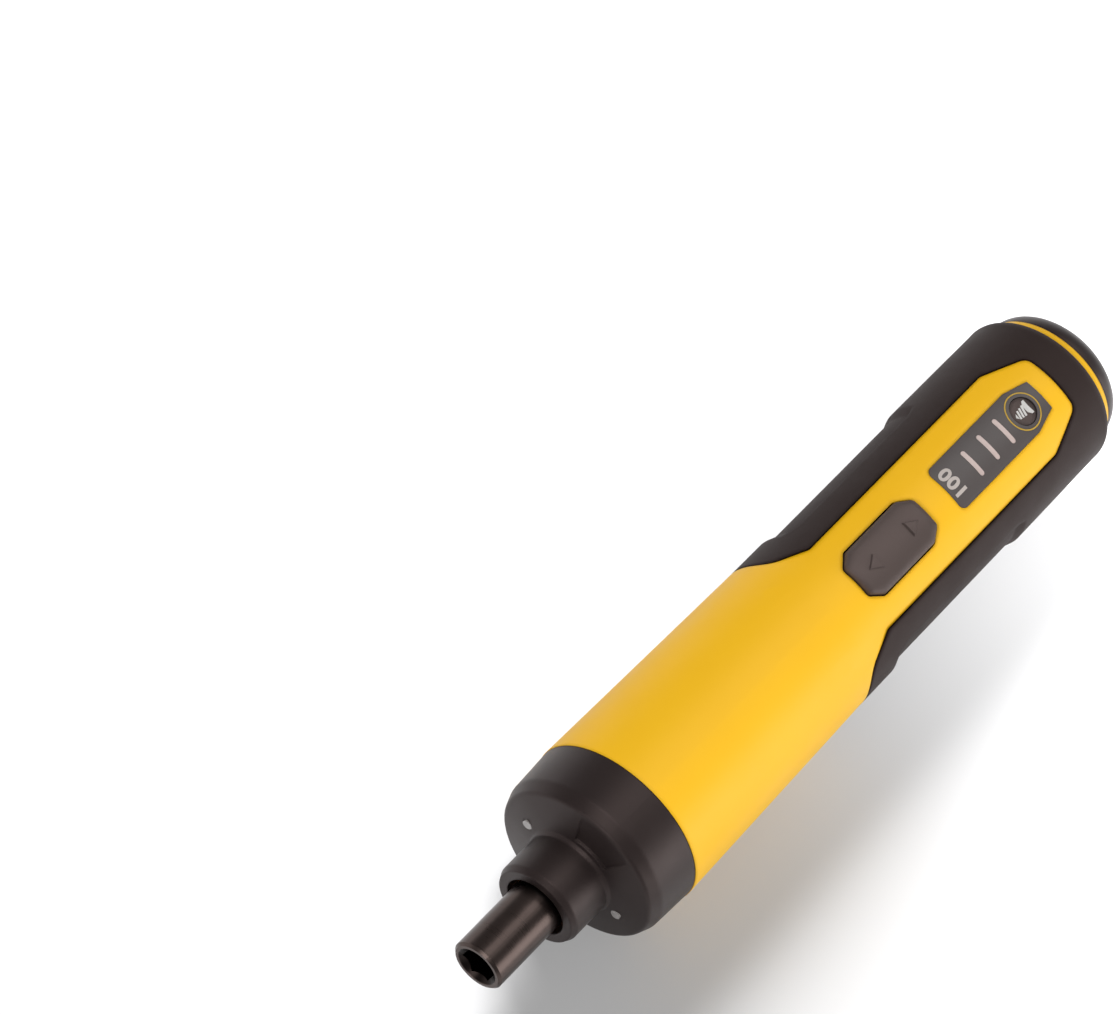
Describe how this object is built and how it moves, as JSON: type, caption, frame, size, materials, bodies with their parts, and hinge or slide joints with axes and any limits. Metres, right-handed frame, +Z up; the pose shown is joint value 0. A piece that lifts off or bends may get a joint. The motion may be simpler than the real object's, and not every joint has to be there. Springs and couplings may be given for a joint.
{
  "type": "electric screwdriver",
  "caption": "Straight cordless electric screwdriver: hex bit socket, planetary drive, rocker switch, indicator panel with mode button, rubber grip and charging socket.",
  "frame": {"origin": "centre of the bit socket's mouth, on the drive axis", "axes": "+X along the drive axis from the bit socket to the end cap, +Z up through the rocker, +Y across to the tool's right side seen from the end cap"},
  "size_m": [0.183, 0.036, 0.0359],
  "materials": {
    "yellow_plastic": "moulded, fine satin texture",
    "black_plastic": "moulded, fine spark texture",
    "grip_rubber": "overmoulded soft rubber, matt",
    "control_plastic": "moulded, satin",
    "panel_plastic": "semi-gloss insert",
    "light_bar": "frosted light guide",
    "clear_lens": "clear moulded lens",
    "black_steel": "black oxide, turned",
    "bright_steel": "ground",
    "sintered_bronze": "oil-filled sintered bronze",
    "gear_nylon": "moulded acetal",
    "gear_steel": "sintered",
    "motor_steel": "zinc plated",
    "magnet_ferrite": "pressed ferrite",
    "copper": "enamelled copper",
    "carbon": "pressed carbon",
    "board_laminate": "glass fibre laminate",
    "led_white": "LED package",
    "cell_wrap": "shrink wrapped cell",
    "nickel": "nickel strip",
    "lead_insulation": "silicone insulation"
  },
  "bodies": {
    "housing": {"ring_gear": "gear_nylon", "nose_cap": "black_plastic", "spindle_bush": "sintered_bronze", "work_light_lenses": "clear_lens", "work_light_leds": "led_white", "led_board": "board_laminate", "motor_plate": "motor_steel", "motor_screws": "bright_steel", "motor_can": "motor_steel", "motor_bearing": "sintered_bronze", "motor_magnets": "magnet_ferrite", "motor_end_cap": "black_plastic", "motor_brushes": "carbon", "motor_terminals": "copper", "upper_shell": "yellow_plastic", "lower_shell": "yellow_plastic", "housing_screws": "bright_steel", "upper_grip": "grip_rubber", "lower_grip": "grip_rubber", "end_cap": "black_plastic", "accent_ring": "yellow_plastic", "usb_socket": "nickel", "usb_contact_tongue": "black_plastic", "charge_board": "board_laminate", "battery_cell": "cell_wrap", "battery_tabs": "nickel", "control_board": "board_laminate", "rocker_switches": "black_plastic", "mode_switch": "black_plastic", "indicator_leds": "led_white", "indicator_panel": "panel_plastic", "light_guides": "light_bar", "button_ring": "yellow_plastic", "motor_leads": "lead_insulation", "charge_leads": "lead_insulation"},
    "spindle": {"bit_holder": "black_steel", "bit_magnet": "nickel", "output_carrier": "gear_steel", "output_pins": "bright_steel"},
    "first_stage_carrier": {"first_carrier": "gear_steel", "first_pins": "bright_steel", "second_sun": "gear_steel"},
    "rotor": {"motor_shaft": "bright_steel", "armature": "motor_steel", "armature_coils": "copper", "commutator": "copper", "motor_pinion": "sintered_bronze"},
    "rocker_switch": {"rocker": "control_plastic"},
    "front_switch_plunger": {"front_plunger": "control_plastic"},
    "rear_switch_plunger": {"rear_plunger": "control_plastic"},
    "mode_push_button": {"mode_button": "control_plastic"},
    "mode_switch_plunger": {"mode_plunger": "control_plastic"},
    "second_stage_planet_1": {"second_planet_1": "gear_steel"},
    "second_stage_planet_2": {"second_planet_2": "gear_steel"},
    "second_stage_planet_3": {"second_planet_3": "gear_steel"},
    "first_stage_planet_1": {"first_planet_1": "gear_nylon"},
    "first_stage_planet_2": {"first_planet_2": "gear_nylon"},
    "first_stage_planet_3": {"first_planet_3": "gear_nylon"}
  },
  "joints": [
    {"name": "spindle_turn", "type": "hinge", "parent": "housing", "child": "spindle", "pos_m": [0, 0, 0], "axis": [1, 0, 0], "continuous": true},
    {"name": "first_carrier_turn", "type": "hinge", "parent": "housing", "child": "first_stage_carrier", "pos_m": [0.04, 0, 0], "axis": [1, 0, 0], "continuous": true},
    {"name": "rotor_turn", "type": "hinge", "parent": "housing", "child": "rotor", "pos_m": [0.06, 0, 0], "axis": [1, 0, 0], "continuous": true},
    {"name": "second_planet_1_turn", "type": "hinge", "parent": "spindle", "child": "second_stage_planet_1", "pos_m": [0.036, 0, 0.00675], "axis": [1, 0, 0], "continuous": true},
    {"name": "second_planet_2_turn", "type": "hinge", "parent": "spindle", "child": "second_stage_planet_2", "pos_m": [0.036, -0.00585, -0.00337], "axis": [1, 0, 0], "continuous": true},
    {"name": "second_planet_3_turn", "type": "hinge", "parent": "spindle", "child": "second_stage_planet_3", "pos_m": [0.036, 0.00585, -0.00337], "axis": [1, 0, 0], "continuous": true},
    {"name": "first_planet_1_turn", "type": "hinge", "parent": "first_stage_carrier", "child": "first_stage_planet_1", "pos_m": [0.04375, 0, 0.00675], "axis": [1, 0, 0], "continuous": true},
    {"name": "first_planet_2_turn", "type": "hinge", "parent": "first_stage_carrier", "child": "first_stage_planet_2", "pos_m": [0.04375, -0.00585, -0.00337], "axis": [1, 0, 0], "continuous": true},
    {"name": "first_planet_3_turn", "type": "hinge", "parent": "first_stage_carrier", "child": "first_stage_planet_3", "pos_m": [0.04375, 0.00585, -0.00337], "axis": [1, 0, 0], "continuous": true},
    {"name": "rocker_tilt", "type": "hinge", "parent": "housing", "child": "rocker_switch", "pos_m": [0.11226, 0, 0.013], "axis": [0, 1, 0], "range_deg": [-3, 3], "stiffness_Nm_per_rad": 0.1},
    {"name": "front_plunger_slide", "type": "slide", "parent": "housing", "child": "front_switch_plunger", "axis": [0, 0, -1], "range_m": [-0.0004, 0.0004]},
    {"name": "rear_plunger_slide", "type": "slide", "parent": "housing", "child": "rear_switch_plunger", "axis": [0, 0, -1], "range_m": [-0.0004, 0.0004]},
    {"name": "mode_press", "type": "slide", "parent": "housing", "child": "mode_push_button", "axis": [0, 0, -1], "range_m": [0, 0.0004], "stiffness_N_per_m": 800},
    {"name": "mode_plunger_slide", "type": "slide", "parent": "housing", "child": "mode_switch_plunger", "axis": [0, 0, -1], "range_m": [0, 0.0004]}
  ],
  "couplings": [
    {"joint": "first_carrier_turn", "follows": "spindle_turn", "ratio": 6},
    {"joint": "rotor_turn", "follows": "spindle_turn", "ratio": 36},
    {"joint": "second_planet_1_turn", "follows": "spindle_turn", "ratio": -2.5},
    {"joint": "second_planet_2_turn", "follows": "spindle_turn", "ratio": -2.5},
    {"joint": "second_planet_3_turn", "follows": "spindle_turn", "ratio": -2.5},
    {"joint": "first_planet_1_turn", "follows": "spindle_turn", "ratio": -15},
    {"joint": "first_planet_2_turn", "follows": "spindle_turn", "ratio": -15},
    {"joint": "first_planet_3_turn", "follows": "spindle_turn", "ratio": -15},
    {"joint": "front_plunger_slide", "follows": "rocker_tilt", "m_per_rad": -0.0075},
    {"joint": "rear_plunger_slide", "follows": "rocker_tilt", "m_per_rad": 0.0075},
    {"joint": "mode_plunger_slide", "follows": "mode_press", "ratio": 1}
  ]
}
